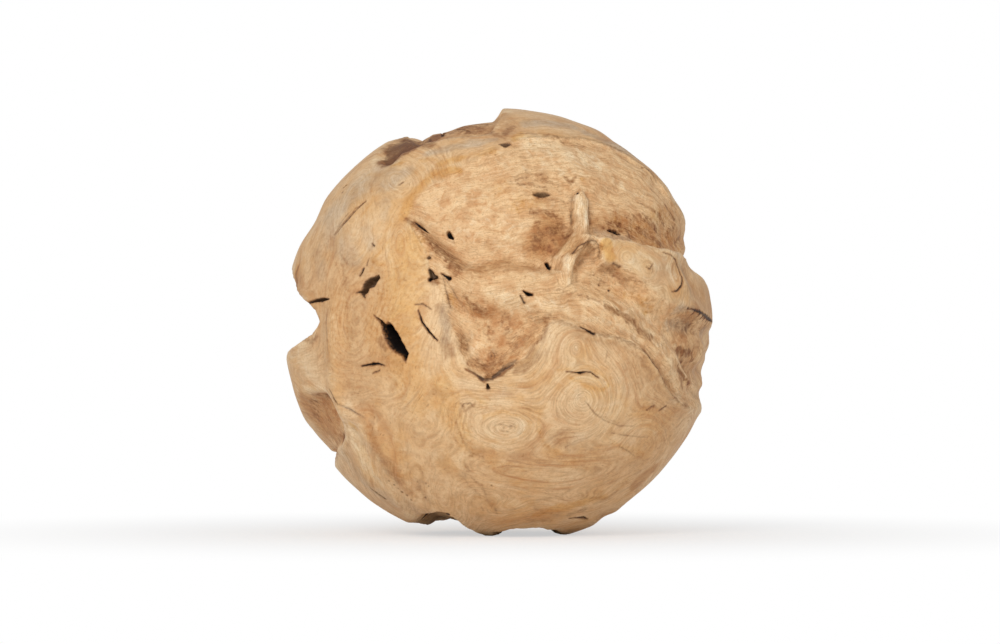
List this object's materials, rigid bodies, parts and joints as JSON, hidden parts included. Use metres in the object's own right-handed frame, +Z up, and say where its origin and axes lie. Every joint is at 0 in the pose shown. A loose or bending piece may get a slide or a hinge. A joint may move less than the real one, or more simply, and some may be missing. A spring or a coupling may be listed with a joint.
{
  "type": "decorative teak root ball",
  "caption": "Solid ball of natural teak root, sanded round, with weathered hollows, a forked rootlet, a thick side root and drying cracks; a tabletop or shelf ornament.",
  "frame": {"origin": "on the floor plane, under the middle of the ball's bounding box", "axes": "+Z up, -Y towards the carved front with the rootlet, +X to the right of it"},
  "size_m": [0.2929, 0.2978, 0.2928],
  "materials": {
    "teak_root": "sanded, unvarnished, with weathered hollows"
  },
  "bodies": {
    "root": {"ball": "teak_root"}
  },
  "joints": []
}
